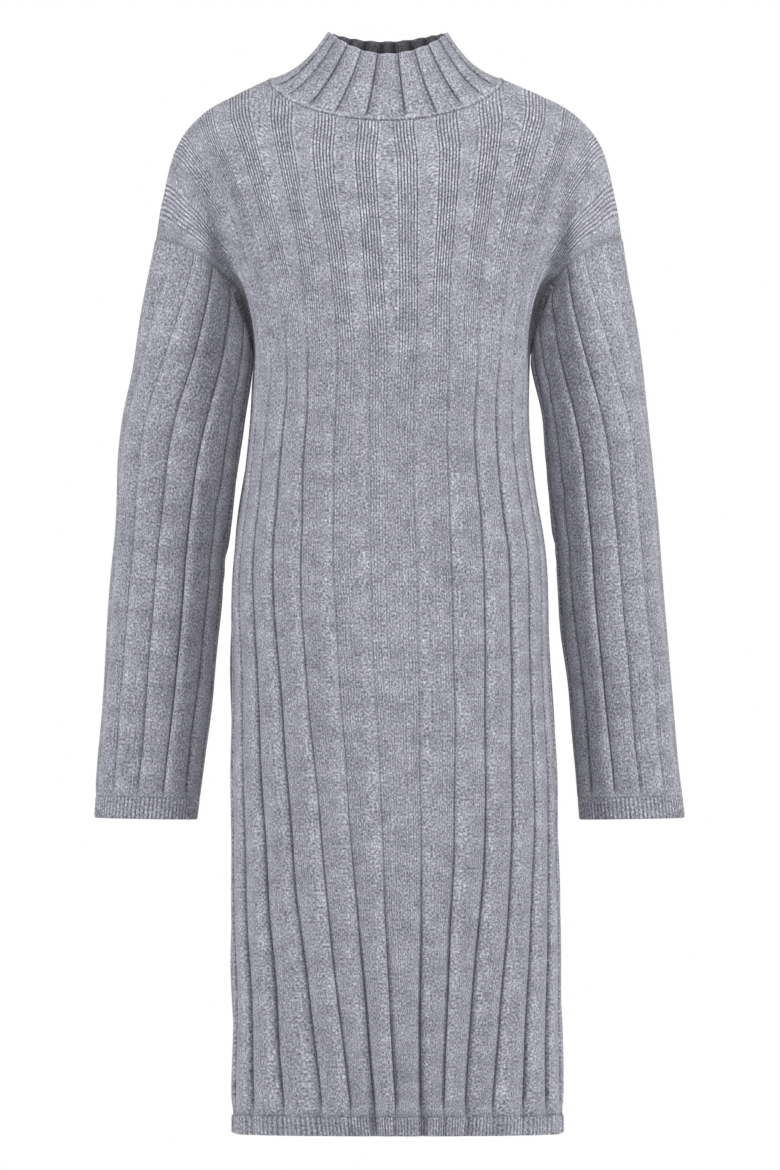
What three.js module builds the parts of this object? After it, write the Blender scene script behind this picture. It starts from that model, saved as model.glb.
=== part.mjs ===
// A mock-neck sweater dress in a wide rib knit, filled out as if worn, with nobody in it.
// Millimetres. +X is the viewer's right, -Y the front, +Z up. The origin lies between the shoulders,
// level with the points where the collar seam meets the shoulder seams.
import * as THREE from "three";

// Driving dimensions
const DRESS_LENGTH = 1000; // shoulder at the collar, down to the hem
const HEM_BAND = 18;
const CUFF_BAND = 21;
const UNDERARM_Z = -262;
const CUFF_Z = -701; // sleeve's edge, on its centre line
const CLOTH = 1.8; // wall in the lower bands
const RIB = 1.2; // height of the smooth bands over the lower ones
const BAND_DROP = 0.4; // how low the bands at hem and cuffs lie, as a share of the ribs' height
const SEAM_GAP = 0.3;
const COLLAR_HALF_WIDTH = 112; // of the collar seam
const COLLAR_SEAM = { front: 62, back: 58, frontDrop: 41, backDrop: 14, side: 2 };
const COLLAR_RIM = { halfWidth: 57, front: 46, back: 50, side: 47.5, frontDip: 20, backDip: 8 };
const NECK_SHIFT = -4; // the neck seam sits a little to the viewer's left
const RIM_SHIFT = -2;
const NECK_ROUNDING = 1.2; // above 1 flattens the neck seam's dip at its middle
const NECK_STEEP = { front: 1.9, back: 1.2 }; // how steeply the panels leave the middle of the neck seam

// How the collar's curve leaves its seam and comes to its rim: shares of the span between them, and
// upward runs in millimetres, with midUp added at the middle of front and back.
const COLLAR_START = { across: 0.52, outward: 0.5, up: 5, midUp: 21 };
const COLLAR_FINISH = { across: 0.2, outward: 0.1, up: 17 };

// How the panels rise from the underarm: share is of the distance up, and the rest hold near the
// armhole, from sideFrom repeats over the next sideOver.
const RISE = { share: 0.37, side: 72, out: 4, forward: 35, sideFrom: 4.5, sideOver: 2.5 };

// Ribs: each repeat is a smooth raised band and a lower band, which falls away from the centre line
// and ends in a sharp step. Places are in repeats, from the middle of the panel or tube.
const BODY_REPEATS = 14; // across the front, and as many across the back
const SLEEVE_REPEATS = 12;
const COLLAR_REPEATS = 22;
const STEP_RUN = 0.06; // across a step
const YOKE_BAND = 0.42; // width of the lower band on the shoulders
const SLEEVE_BAND = 0.3;
const COLLAR_BAND = 0.34;
const EDGE = BODY_REPEATS / 2;
const COLLAR_EDGE = 2.5 + YOKE_BAND / 2 + STEP_RUN / 2; // where the collar seam meets the shoulder

// Rows of numbers under named columns.
const table = (names, rows) =>
  rows.map((row) => Object.fromEntries(names.split(" ").map((name, i) => [name, row[i]])));

// Sections of the body below the arms, from the underarm down. left, right, front and back are how far
// the cloth reaches. waleLeft, waleMid and waleRight say where round the section, in degrees from the
// front, the ribs at -3.5, 0 and 3.5 repeats run. band is the width of the lower bands, and flute how
// far the cloth is drawn in along each step.
const BODY = table("z left right front back waleLeft waleMid waleRight band flute", [
  [-1000, 150, 165, 114, 110, -26, 4, 33.5, 0.24, 4.5],
  [-870, 149.5, 163, 113, 109, -32, 2.8, 38.5, 0.24, 3.6],
  [-760, 151, 161, 112, 108, -36.8, 2.6, 43.8, 0.24, 2.4],
  [-645, 150.5, 157, 110, 108, -41, 2.2, 46.6, 0.25, 1],
  [-530, 151, 152, 108, 106, -45, 1.7, 48, 0.26, 0.3],
  [-452, 147.5, 147.5, 107, 101, -47.6, 1.4, 48.8, 0.28, 0],
  [-380, 139, 137, 109, 97, -48, 1.2, 49, 0.32, 0],
  [-320, 132.5, 132, 113, 99, -48, 0.8, 48.5, 0.38, 0],
  [-262, 130, 134, 118, 104, -47.5, 0.4, 48, 0.42, 0],
]);
const SECTION_POWER = 0.86; // below 1 makes the front and back fuller than an ellipse

// How the cloth eases out below the corner of collar and shoulder. reach and width are in repeats, foot
// and head are shares of the run from underarm to seam, and each step has its share of the mean.
const CORNER_EASE = {
  reach: 1.1,
  width: 1.1,
  foot: 0.3,
  head: 0.35,
  least: 0.001,
  steps: [[-1, 0.1], [-0.6, 0.16], [-0.25, 0.16], [0, 0.16], [0.25, 0.16], [0.6, 0.16], [1, 0.1]],
};

// The shoulder seam, from the collar to the end of the dropped shoulder. rib is in repeats from the
// centre, and shift moves both sides to the right. inward, drop and reach say which way and how
// strongly the cloth runs on over the front.
const SHOULDER = table("rib x z shift inward drop reach", [
  [2.74, 112, 2, -4, 0, 0.5, 80],
  [3.5, 145, -13, -2.5, 0.02, 0.35, 86],
  [4.5, 178, -32, -1.5, 0.14, 0.3, 94],
  [5.5, 203, -64, -1, 0.4, 0.2, 100],
  [6.5, 217, -118, -1, 0.5, 0.15, 100],
  [7, 222, -150, -1, 0.55, 0.12, 100],
]);

// Sleeve sections, wearer's arms hanging. The columns are how far each edge lies from the middle.
const SLEEVE = table("z leftOuter leftInner rightInner rightOuter front back middle", [
  [-150, 222, 140, 140, 222, 47, 47, 0],
  [-262, 243, 135, 140, 239, 49, 48, 5],
  [-320, 254, 138, 144.5, 246, 49, 48, 10],
  [-452, 264, 155, 156, 257.5, 47, 46, 14],
  [-580, 273, 168, 169, 268, 45, 45, 12],
  [-701, 281, 183, 180, 280.5, 43, 43, 8],
]);
const SLEEVE_TILT = 0.02; // the cuff's inner side hangs lower

// How far down the sleeve keeps the armhole's form, as shares of its run: less at the underarm, over
// width turns to each side
const SLEEVE_EASE = { run: 0.38, underarm: 0.16, width: 0.09 };

// Creases over the front or back, as troughs from one point to another, mirrored to the other side.
// They are shallower at their ends, and fade where the body turns to its sides.
const CREASE_ENDS = { from: 0.15, over: 0.7 };
const CREASE_FADE = 40;
const CREASES = [
  { x1: 170, z1: -98, x2: 139, z2: -262, width: 11, depth: 13 }, // where the arm meets the chest
  { x1: 150, z1: -300, x2: 118, z2: -385, width: 10, depth: 4 }, // pulled from the underarm
];

// Deep folds of the skirt, each along a rib of the front (face -1) or back (face 1), growing from top
// down to the hem.
const SKIRT_FOLDS = [
  { face: -1, rib: 0.64, top: -560, depth: 8, width: 0.34 },
  { face: -1, rib: -1.64, top: -600, depth: 6, width: 0.36 },
  { face: -1, rib: 2.64, top: -640, depth: 4, width: 0.34 },
  { face: -1, rib: -3.64, top: -620, depth: 3.5, width: 0.34 },
  { face: 1, rib: -0.64, top: -580, depth: 7, width: 0.36 },
  { face: 1, rib: 1.64, top: -520, depth: 5, width: 0.34 },
  { face: 1, rib: -2.64, top: -640, depth: 5, width: 0.34 },
  { face: 1, rib: 4.64, top: -600, depth: 4, width: 0.34 },
];

// How finely the surfaces are cut
const ROWS_BELOW = 9;
const ROWS_ABOVE = 8;
const SLEEVE_ROWS = 10;
const COLLAR_ROWS = 4;
const BELOW_SHARE = 0.74; // share of a rib's run that lies below the underarm

// Small steps for the normals, in repeats or turns across and in shares of the run along, and how much
// the way out from the armhole's middle counts in the normal at that seam
const BODY_STEP = [0.02, 0.004];
const SLEEVE_STEP = [0.004, 0.01];
const COLLAR_STEP = [0.004, 0.02];
const ARMHOLE_OUTWARD = 0.35;
const TINY = 1e-6;

const RAD = Math.PI / 180;
const clamp01 = (x) => Math.min(1, Math.max(0, x));
const smooth = (x) => clamp01(x) ** 2 * (3 - 2 * clamp01(x));
const clampOne = (x) => Math.min(1, Math.max(-1, x));
const mix = (a, b, t) => a + (b - a) * t;
const vec = (x, y, z) => new THREE.Vector3(x, y, z);
const spread = (from, to, count) => Array.from({ length: count + 1 }, (_, i) => mix(from, to, i / count));

// A smooth curve through one column of a table, read at any value of the column named by.
function read(table, by, at, column) {
  const rows = table[0][by] < table[table.length - 1][by] ? table : [...table].reverse();
  let i = 0;
  while (i < rows.length - 2 && at > rows[i + 1][by]) i++;
  const slope = (k) => {
    const a = rows[Math.max(k - 1, 0)];
    const b = rows[Math.min(k + 1, rows.length - 1)];
    return (b[column] - a[column]) / (b[by] - a[by]);
  };
  const span = rows[i + 1][by] - rows[i][by];
  const t = (at - rows[i][by]) / span;
  if (t <= 0) return rows[i][column];
  if (t >= 1) return rows[i + 1][column];
  const start = rows[i][column] * (1 + 2 * t) * (1 - t) ** 2 + span * slope(i) * t * (1 - t) ** 2;
  const end = rows[i + 1][column] * t * t * (3 - 2 * t) + span * slope(i + 1) * t * t * (t - 1);
  return start + end;
}

function bezier(a, b, c, d, t) {
  const u = 1 - t;
  return a.clone().multiplyScalar(u ** 3)
    .addScaledVector(b, 3 * u * u * t)
    .addScaledVector(c, 3 * u * t * t)
    .addScaledVector(d, t ** 3);
}

// The outward normal of a form f(u, v), by small steps. side turns it round where u and v run the
// other way.
function normal(f, u, v, side, [du, dv]) {
  const across = f(u + du, v).sub(f(u - du, v));
  const along = f(u, v + dv).sub(f(u, v - dv));
  return across.cross(along).multiplyScalar(side).normalize();
}

// Creases push the front backwards and the back forwards, and fade towards the sides of the body.
function crease(p) {
  let push = 0;
  for (const c of CREASES) {
    const [dx, dz] = [c.x2 - c.x1, c.z2 - c.z1];
    const t = clamp01(((Math.abs(p.x) - c.x1) * dx + (p.z - c.z1) * dz) / (dx * dx + dz * dz));
    const away = Math.hypot(Math.abs(p.x) - c.x1 - t * dx, p.z - c.z1 - t * dz);
    const fade = Math.sin(Math.PI * (CREASE_ENDS.from + CREASE_ENDS.over * t));
    push += c.depth * Math.exp(-((away / c.width) ** 2)) * fade;
  }
  p.y -= Math.sign(p.y) * push * clamp01(Math.abs(p.y) / CREASE_FADE);
  return p;
}

// A point on the body's section at a height. angle is from the front, or from behind on the back.
function section(z, angle, face) {
  const [left, right] = [read(BODY, "z", z, "left"), read(BODY, "z", z, "right")];
  const reach = read(BODY, "z", z, face < 0 ? "front" : "back");
  const x = (right - left) / 2 + ((right + left) / 2) * Math.sin(angle * RAD);
  return vec(x, face * reach * Math.abs(Math.cos(angle * RAD)) ** SECTION_POWER, z);
}

function waleAngle(z, rib, face) {
  if (face > 0) return (90 * rib) / EDGE;
  const stops = [
    { rib: -EDGE, angle: -90 },
    { rib: -EDGE / 2, angle: read(BODY, "z", z, "waleLeft") },
    { rib: 0, angle: read(BODY, "z", z, "waleMid") },
    { rib: EDGE / 2, angle: read(BODY, "z", z, "waleRight") },
    { rib: EDGE, angle: 90 },
  ];
  return read(stops, "rib", rib, "angle");
}

// The collar seam, at an angle from the front (face -1) or from behind (face 1).
function collarSeam(angle, face) {
  const c = Math.abs(Math.cos(angle));
  const [reach, drop] = face < 0
    ? [COLLAR_SEAM.front, COLLAR_SEAM.frontDrop]
    : [COLLAR_SEAM.back, COLLAR_SEAM.backDrop];
  const x = NECK_SHIFT + COLLAR_HALF_WIDTH * Math.sin(angle);
  return vec(x, face * reach * c, COLLAR_SEAM.side - drop * c ** NECK_ROUNDING);
}

// The top end of a rib, and the handle that its curve ends along.
function ribTop(rib, face) {
  const u = Math.abs(rib);
  const side = Math.sign(rib);
  if (u < COLLAR_EDGE) {
    const angle = Math.asin(rib / COLLAR_EDGE);
    const steep = mix(SHOULDER[0].drop, face < 0 ? NECK_STEEP.front : NECK_STEEP.back, Math.cos(angle));
    const handle = vec(0, face, -steep).normalize().multiplyScalar(SHOULDER[0].reach);
    return [collarSeam(angle, face), handle];
  }
  const at = (column) => read(SHOULDER, "rib", u, column);
  const handle = vec(-side * at("inward"), face, -at("drop")).normalize().multiplyScalar(at("reach"));
  return [vec(at("shift") + side * at("x"), 0, at("z")), handle];
}

const bodyHeight = (along) => mix(-DRESS_LENGTH + HEM_BAND, UNDERARM_Z, along / BELOW_SHARE);

// The body's form: along is 0 at the top of the hem band and 1 at the collar or shoulder seam. Below
// the corner of collar and shoulder it is eased over the ribs on both sides, so that no crease runs
// down from there.
function body(rib, along, face) {
  const t = clamp01((along - BELOW_SHARE) / (1 - BELOW_SHARE));
  const near = Math.exp(-(((Math.abs(rib) - COLLAR_EDGE) / CORNER_EASE.width) ** 2));
  const ease = CORNER_EASE.reach * near * smooth(t / CORNER_EASE.foot) * smooth((1 - t) / CORNER_EASE.head);
  if (ease < CORNER_EASE.least) return run(rib, along, face);
  return CORNER_EASE.steps.reduce(
    (sum, [step, share]) => sum.addScaledVector(run(rib + step * ease, along, face), share),
    vec(0, 0, 0),
  );
}

// The body's form before that corner is eased.
function run(rib, along, face) {
  if (along <= BELOW_SHARE) {
    const z = bodyHeight(along);
    return crease(section(z, waleAngle(z, rib, face), face));
  }
  const t = (along - BELOW_SHARE) / (1 - BELOW_SHARE);
  const start = section(UNDERARM_Z, waleAngle(UNDERARM_Z, rib, face), face);
  const [top, handle] = ribTop(rib, face);
  const outer = smooth((Math.abs(rib) - RISE.sideFrom) / RISE.sideOver);
  const rise = mix(RISE.share * start.distanceTo(top), RISE.side, outer);
  const lift = vec(Math.sign(rib) * RISE.out * outer, face * RISE.forward * outer, rise);
  return crease(bezier(start, start.clone().add(lift), top.clone().add(handle), top, t));
}

// How deep the skirt's folds lie at a rib.
function skirtFold(rib, along, face) {
  const z = bodyHeight(along);
  return SKIRT_FOLDS.filter((f) => f.face === face).reduce((sum, f) => {
    const grown = smooth((f.top - z) / (f.top + DRESS_LENGTH));
    return sum + f.depth * grown * Math.exp(-(((rib - f.rib) / f.width) ** 2));
  }, 0);
}

// The armhole's point at a turn from 0 (shoulder) through 0.5 (underarm) to 1, the front half first.
function armhole(side, turn) {
  const face = turn <= 0.5 ? -1 : 1;
  return body(side * EDGE, mix(BELOW_SHARE, 1, Math.abs(1 - 2 * turn)), face);
}

// The sleeve's form: along is 0 at the armhole and 1 at the top of the cuff, and below is mm under that.
function sleeve(side, turn, along, below = 0) {
  const around = (turn + 1) % 1;
  const name = side < 0 ? "left" : "right";
  const across = (z) => [read(SLEEVE, "z", z, name + "Outer"), read(SLEEVE, "z", z, name + "Inner")];
  const [c, s] = [Math.cos(around * 360 * RAD), Math.sin(around * 360 * RAD)];
  const ring = (z) => {
    const [outer, inner] = across(z);
    const depth = read(SLEEVE, "z", z, s > 0 ? "front" : "back");
    return vec(side * mix(inner, outer, (1 + c) / 2), read(SLEEVE, "z", z, "middle") - depth * s, z);
  };
  const [outer, inner] = across(CUFF_Z);
  const bottom = CUFF_Z + CUFF_BAND + (SLEEVE_TILT * c * (outer - inner)) / 2;
  const hole = armhole(side, around);
  const settle = hole.clone().sub(ring(hole.z));
  const under = Math.exp(-(((around - 0.5) / SLEEVE_EASE.width) ** 2));
  const p = ring(mix(hole.z, bottom, along) - below);
  return p.addScaledVector(settle, 1 - smooth(along / mix(SLEEVE_EASE.run, SLEEVE_EASE.underarm, under)));
}

// The collar's form: turn 0 is the front, along is 0 at the seam and 1 at the rim.
function collar(turn, along) {
  const angle = turn * 360 * RAD;
  const face = Math.cos(angle) > 0 ? -1 : 1;
  const c = Math.abs(Math.cos(angle));
  const seam = collarSeam(Math.asin(Math.sin(angle)), face);
  const [reach, dip] = face < 0
    ? [COLLAR_RIM.front, COLLAR_RIM.frontDip]
    : [COLLAR_RIM.back, COLLAR_RIM.backDip];
  const x = RIM_SHIFT + COLLAR_RIM.halfWidth * Math.sin(angle);
  const rim = vec(x, face * reach * c, COLLAR_RIM.side - dip * c ** 2);
  const span = rim.clone().sub(seam);
  const { across, outward, up, midUp } = COLLAR_START;
  const start = vec(span.x * across, span.y * outward, up + midUp * c);
  const finish = vec(span.x * COLLAR_FINISH.across, span.y * COLLAR_FINISH.outward, COLLAR_FINISH.up);
  return bezier(seam, seam.clone().add(start), rim.clone().sub(finish), rim, along);
}

const bodyNormal = (rib, along, face) => normal((u, v) => body(u, v, face), rib, along, -face, BODY_STEP);
const sleeveNormal = (side, turn, along) => normal((u, v) => sleeve(side, u, v), turn, along, side, SLEEVE_STEP);
const collarNormal = (turn, along) => normal(collar, turn, along, 1, COLLAR_STEP);

// Pieces that meet at a seam share its normal, between their own, so that their walls end flush.
function armholeNormal(side, turn) {
  const face = turn <= 0.5 ? -1 : 1;
  const own = bodyNormal(side * EDGE, mix(BELOW_SHARE, 1, Math.abs(1 - 2 * turn)), face);
  const middle = armhole(side, 0).add(armhole(side, 0.5)).multiplyScalar(0.5);
  const n = armhole(side, turn).sub(middle).normalize().multiplyScalar(ARMHOLE_OUTWARD);
  n.add(own).add(sleeveNormal(side, turn, 0.02));
  if (turn === 0) n.y = 0;
  return n.normalize();
}

function collarSeamNormal(turn) {
  const sine = Math.sin(turn * 360 * RAD);
  const face = Math.cos(turn * 360 * RAD) > 0 ? -1 : 1;
  const n = bodyNormal(COLLAR_EDGE * sine * 0.98, 0.98, face).add(collarNormal(turn, 0.05));
  if (Math.abs(sine) > 0.9999) n.y = 0;
  return n.normalize();
}

function panelNormal(rib, along, face) {
  const side = Math.sign(rib);
  if (Math.abs(rib) === EDGE && along <= BELOW_SHARE) return vec(side, 0, 0);
  if (Math.abs(rib) === EDGE) {
    const turn = (1 - (along - BELOW_SHARE) / (1 - BELOW_SHARE)) / 2;
    return armholeNormal(side, face < 0 ? turn : (1 - turn) % 1);
  }
  if (along < 1) return bodyNormal(rib, along, face);
  if (Math.abs(rib) > COLLAR_EDGE + TINY) return bodyNormal(rib, 0.998, face).setY(0).normalize();
  const angle = Math.asin(Math.min(1, Math.abs(rib) / COLLAR_EDGE)) * side;
  return collarSeamNormal(face < 0 ? angle / (360 * RAD) : 0.5 - angle / (360 * RAD));
}

// Triangles between two lines of corners, each with its place t along the line.
function zip(a, b, triangle) {
  let [i, j] = [0, 0];
  while (i < a.length - 1 || j < b.length - 1) {
    const nextA = i < a.length - 1 ? a[i + 1].t : Infinity;
    const nextB = j < b.length - 1 ? b[j + 1].t : Infinity;
    if (nextA < nextB + TINY) {
      triangle(a[i].id, a[i + 1].id, b[j].id);
      i++;
    }
    if (nextB < nextA + TINY) {
      triangle(a[i].id, b[j + 1].id, b[j].id);
      j++;
    }
  }
}

// Closes lines of points into one wall. Each point has its place t along its line, outer and inner.
// closed says that each line runs round to its own start. side turns the faces round.
function wall(lines, closed, side) {
  const [points, index] = [[], []];
  const triangle = (a, b, c) => index.push(...(side > 0 ? [a, b, c] : [a, c, b]));
  const quad = (a, b, c, d) => {
    triangle(a, b, c);
    triangle(a, c, d);
  };
  const corners = (line, layer) => {
    const made = line.map((q) => ({ t: q.t, id: points.push(q[layer]) - 1 }));
    return closed ? [...made, { t: made[0].t + 1, id: made[0].id }] : made;
  };
  const outer = lines.map((line) => corners(line, "outer"));
  const inner = lines.map((line) => corners(line, "inner"));
  const last = lines.length - 1;
  for (let i = 0; i < last; i++) {
    zip(outer[i], outer[i + 1], triangle);
    zip(inner[i], inner[i + 1], (a, b, c) => triangle(a, c, b));
  }
  for (let j = 0; j < outer[0].length - 1; j++)
    quad(inner[0][j].id, inner[0][j + 1].id, outer[0][j + 1].id, outer[0][j].id);
  for (let j = 0; j < outer[last].length - 1; j++)
    quad(outer[last][j].id, outer[last][j + 1].id, inner[last][j + 1].id, inner[last][j].id);
  if (!closed)
    for (let i = 0; i < last; i++) {
      const [o, n] = [[outer[i], outer[i + 1]], [inner[i], inner[i + 1]]];
      quad(n[0][0].id, o[0][0].id, o[1][0].id, n[1][0].id);
      quad(o[0].at(-1).id, n[0].at(-1).id, n[1].at(-1).id, o[1].at(-1).id);
    }
  const geometry = new THREE.BufferGeometry();
  geometry.setAttribute("position", new THREE.Float32BufferAttribute(points.flatMap((p) => p.toArray()), 3));
  geometry.setIndex(index);
  geometry.computeVertexNormals();
  return geometry;
}

// The stops of the ribs on one side of the middle: their place in repeats, and how low they lie.
function ribStops(repeats, band) {
  return Array.from({ length: repeats }, (_, k) => [
    { rib: k + 0.5 - band / 2, low: 0 },
    { rib: k + 0.5 + band / 2 - STEP_RUN / 2, low: 1 },
    { rib: k + 0.5 + band / 2 + STEP_RUN / 2, low: 0 },
  ]).flat();
}

// The same stops all round a tube, as places from 0 to 1, mirrored from the middle to the far side.
function roundStops(repeats, band) {
  const half = ribStops(repeats / 2, band).map((s) => ({ t: s.rib / repeats, low: s.low }));
  const mirrored = half.map((s) => ({ t: 1 - s.t, low: s.low })).reverse();
  return [{ t: 0, low: 0 }, ...half, { t: 0.5, low: 0 }, ...mirrored];
}

// A wall's two points at a place on its form, drawn in by fold, with the outside lowered where low is 1.
function layers(t, p, n, fold, low, apart) {
  const outer = p.clone().addScaledVector(n, -fold - RIB * low).add(apart);
  const inner = p.clone().addScaledVector(n, -fold - RIB - CLOTH).add(apart);
  return { t, outer, inner };
}

const SLEEVE_STOPS = roundStops(SLEEVE_REPEATS, SLEEVE_BAND);
const ARMHOLE_ROWS = SLEEVE_STOPS.filter((s) => s.t < 0.5).map((s) => mix(1, BELOW_SHARE, s.t * 2)).reverse();
const BODY_ROWS_BELOW = spread(0, BELOW_SHARE, ROWS_BELOW);

// The columns of a panel, from one side seam to the other.
function panelColumns() {
  const half = ribStops(EDGE, 0).map((s, i) => ({ repeat: Math.floor(i / 3), part: i % 3, low: s.low }));
  const right = [...half.map((s) => ({ ...s, side: 1 })), { side: 1, edge: true, low: 0 }];
  const left = right.map((s) => ({ ...s, side: -1 })).reverse();
  return [...left, { side: 0, low: 0 }, ...right];
}

function columnRib(column, along) {
  if (column.side === 0) return 0;
  if (column.edge) return column.side * EDGE;
  const band = along < BELOW_SHARE ? read(BODY, "z", bodyHeight(along), "band") : YOKE_BAND;
  const stops = [-band / 2, band / 2 - STEP_RUN / 2, band / 2 + STEP_RUN / 2];
  return column.side * (column.repeat + 0.5 + stops[column.part]);
}

// A panel of the body at the places along given by rows, parted from its neighbours by apart.
function panel(face, rows, edgeRows, relief, apart) {
  const columns = panelColumns().map((column) =>
    (column.edge ? edgeRows : rows).map((along) => {
      const rib = columnRib(column, along);
      const z = bodyHeight(Math.min(along, BELOW_SHARE));
      const fold = skirtFold(rib, along, face) + column.low * read(BODY, "z", z, "flute");
      const n = panelNormal(rib, Math.max(along, 0), face);
      return layers(along, body(rib, along, face), n, fold, relief(column), apart);
    }),
  );
  return wall(columns, false, face);
}

function sleeveTube(side, stops, rings, apart) {
  const lines = rings.map((ring) =>
    stops.map(({ t, low }) => {
      const p = sleeve(side, t, ring.along, ring.below);
      const n = sleeveRingNormal(side, t, ring.along);
      return layers(t, p, n, 0, ring.below > 0 ? BAND_DROP : low, apart);
    }),
  );
  return wall(lines, true, side);
}

function sleeveRingNormal(side, turn, along) {
  if (along > 0) return sleeveNormal(side, turn, Math.min(along, 0.99));
  return turn === 0.5 ? vec(-side, 0, -0.2).normalize() : armholeNormal(side, turn);
}

const group = new THREE.Group();
const knit = new THREE.MeshStandardMaterial({ color: 0x8f929f, roughness: 0.95, metalness: 0 });

function add(name, geometry) {
  const mesh = new THREE.Mesh(geometry, knit);
  mesh.name = name;
  group.add(mesh);
}

const alongPerMm = BELOW_SHARE / (DRESS_LENGTH - HEM_BAND + UNDERARM_Z);
for (const [name, face] of [["front", -1], ["back", 1]]) {
  const apart = vec(0, (face * SEAM_GAP) / 2, 0);
  const rows = [...BODY_ROWS_BELOW.slice(0, -1), ...spread(BELOW_SHARE, 1, ROWS_ABOVE)];
  const edgeRows = [...BODY_ROWS_BELOW, ...ARMHOLE_ROWS];
  add(name, panel(face, rows, edgeRows, (column) => column.low, apart));
  const hem = [-HEM_BAND * alongPerMm, 0];
  const lower = apart.clone().setZ(-SEAM_GAP);
  add("hem_rib_" + name, panel(face, hem, hem, () => BAND_DROP, lower));
}

for (const [name, side] of [["left", -1], ["right", 1]]) {
  const apart = vec(side * SEAM_GAP, 0, -SEAM_GAP);
  const rings = spread(0, 1, SLEEVE_ROWS).map((along) => ({ along, below: 0 }));
  add("sleeve_" + name, sleeveTube(side, SLEEVE_STOPS, rings, apart));
  const cuff = [SEAM_GAP, CUFF_BAND].map((below) => ({ along: 1, below }));
  add("cuff_rib_" + name, sleeveTube(side, SLEEVE_STOPS, cuff, apart));
}

function collarRing(along, stops) {
  return stops.map(({ t, low }) => {
    const n = along > 0 ? collarNormal(t, Math.min(along, 0.98)) : collarSeamNormal(t);
    return layers(t, collar(t, along), n, 0, low, vec(0, 0, SEAM_GAP * 1.2));
  });
}

// The collar's seam has the corners of the necklines, and the rest of it those of its own ribs.
function collarTube() {
  const seam = panelColumns().map((column) => ({ rib: columnRib(column, 1), low: column.low }))
    .filter(({ rib }) => Math.abs(rib) < COLLAR_EDGE + TINY)
    .map(({ rib, low }) => ({ turn: Math.asin(clampOne(rib / COLLAR_EDGE)) / (360 * RAD), low }));
  const front = seam.map(({ turn, low }) => ({ t: turn, low }));
  const back = seam.slice(1, -1).map(({ turn, low }) => ({ t: 0.5 - turn, low })).reverse();
  const stops = roundStops(COLLAR_REPEATS, COLLAR_BAND);
  const rings = spread(0, 1, COLLAR_ROWS).slice(1).map((along) => collarRing(along, stops));
  const all = [...front, ...back].map((s) => ({ ...s, t: (s.t + 1) % 1 })).sort((a, b) => a.t - b.t);
  return wall([collarRing(0, all), ...rings], true, 1);
}

add("collar", collarTube());

export default group;
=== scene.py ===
"""A grey marl sweater dress in wide rib knit, filled out as worn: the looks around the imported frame.

Tables and forms are in millimetres, in the frame of the part: +X the viewer's right, -Y the front, +Z up.
Meshes are made in metres.
"""

import math

import bpy
import numpy as np
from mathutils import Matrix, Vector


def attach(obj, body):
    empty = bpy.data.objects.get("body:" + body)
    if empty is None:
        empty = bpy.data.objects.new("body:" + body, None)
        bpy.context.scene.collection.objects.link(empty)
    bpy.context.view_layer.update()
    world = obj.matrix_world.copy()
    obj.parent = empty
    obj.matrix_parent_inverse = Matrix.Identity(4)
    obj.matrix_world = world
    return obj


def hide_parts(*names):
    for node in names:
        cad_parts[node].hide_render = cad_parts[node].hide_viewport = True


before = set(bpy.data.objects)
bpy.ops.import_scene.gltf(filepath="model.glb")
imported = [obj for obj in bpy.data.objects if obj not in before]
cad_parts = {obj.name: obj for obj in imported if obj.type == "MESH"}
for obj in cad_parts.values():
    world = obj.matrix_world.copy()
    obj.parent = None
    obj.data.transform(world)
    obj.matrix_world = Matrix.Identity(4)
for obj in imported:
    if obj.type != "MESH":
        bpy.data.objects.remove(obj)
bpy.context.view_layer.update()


def named_rows(names, *rows):
    """One dictionary for each row of numbers."""
    return [dict(zip(names, row)) for row in rows]


# Driving sizes, as in the part's solids
MM = 0.001
TURN = 2 * math.pi
DRESS_LENGTH = 1000
HEM_BAND = 18
CUFF_BAND = 21
UNDERARM_Z = -262
CUFF_Z = -701
NECK_SHIFT = -4
RIM_SHIFT = -2
COLLAR_HALF_WIDTH = 112
COLLAR_SEAM = {"front": 62, "back": 58, "front_drop": 41, "back_drop": 14, "side": 2, "power": 1.2}
COLLAR_RIM = {"half_width": 57, "front": 46, "back": 50, "side": 47.5, "front_dip": 20, "back_dip": 8}
BODY_REPEATS = 14
SLEEVE_REPEATS = 12
COLLAR_REPEATS = 22
YOKE_BAND = 0.42
SLEEVE_BAND = 0.3
COLLAR_BAND = 0.34
EDGE = BODY_REPEATS / 2
COLLAR_EDGE = 2.74
BELOW_SHARE = 0.74
SECTION_POWER = 0.86
SLEEVE_TILT = 0.02
SLEEVE_EASE = {"run": 0.38, "underarm": 0.16, "width": 0.09}
COLLAR_START = (0.52, 0.5, 5)
COLLAR_START_MIDDLE = 21
COLLAR_FINISH = (0.2, 0.1, 17)

# How the cloth leaves the collar's seam in the middle, and how it rises from the underarm to the shoulder
NECK_STEEP = {"front": 1.9, "back": 1.2}
OUTER_FROM = 4.5
YOKE_LIFT = {"share": 0.37, "up": 72, "sideways": 4, "forward": 35}

# How the cloth eases out below the corner of collar and shoulder, in repeats
CORNER_EASE = 1.1
CORNER_REACH = 1.1
CORNER_FROM = 0.3
CORNER_TO = 0.35
LEAST_EASE = 0.001
CORNER_STEPS = [(-1, 0.1), (-0.6, 0.16), (-0.25, 0.16), (0, 0.16), (0.25, 0.16), (0.6, 0.16), (1, 0.1)]

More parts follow.
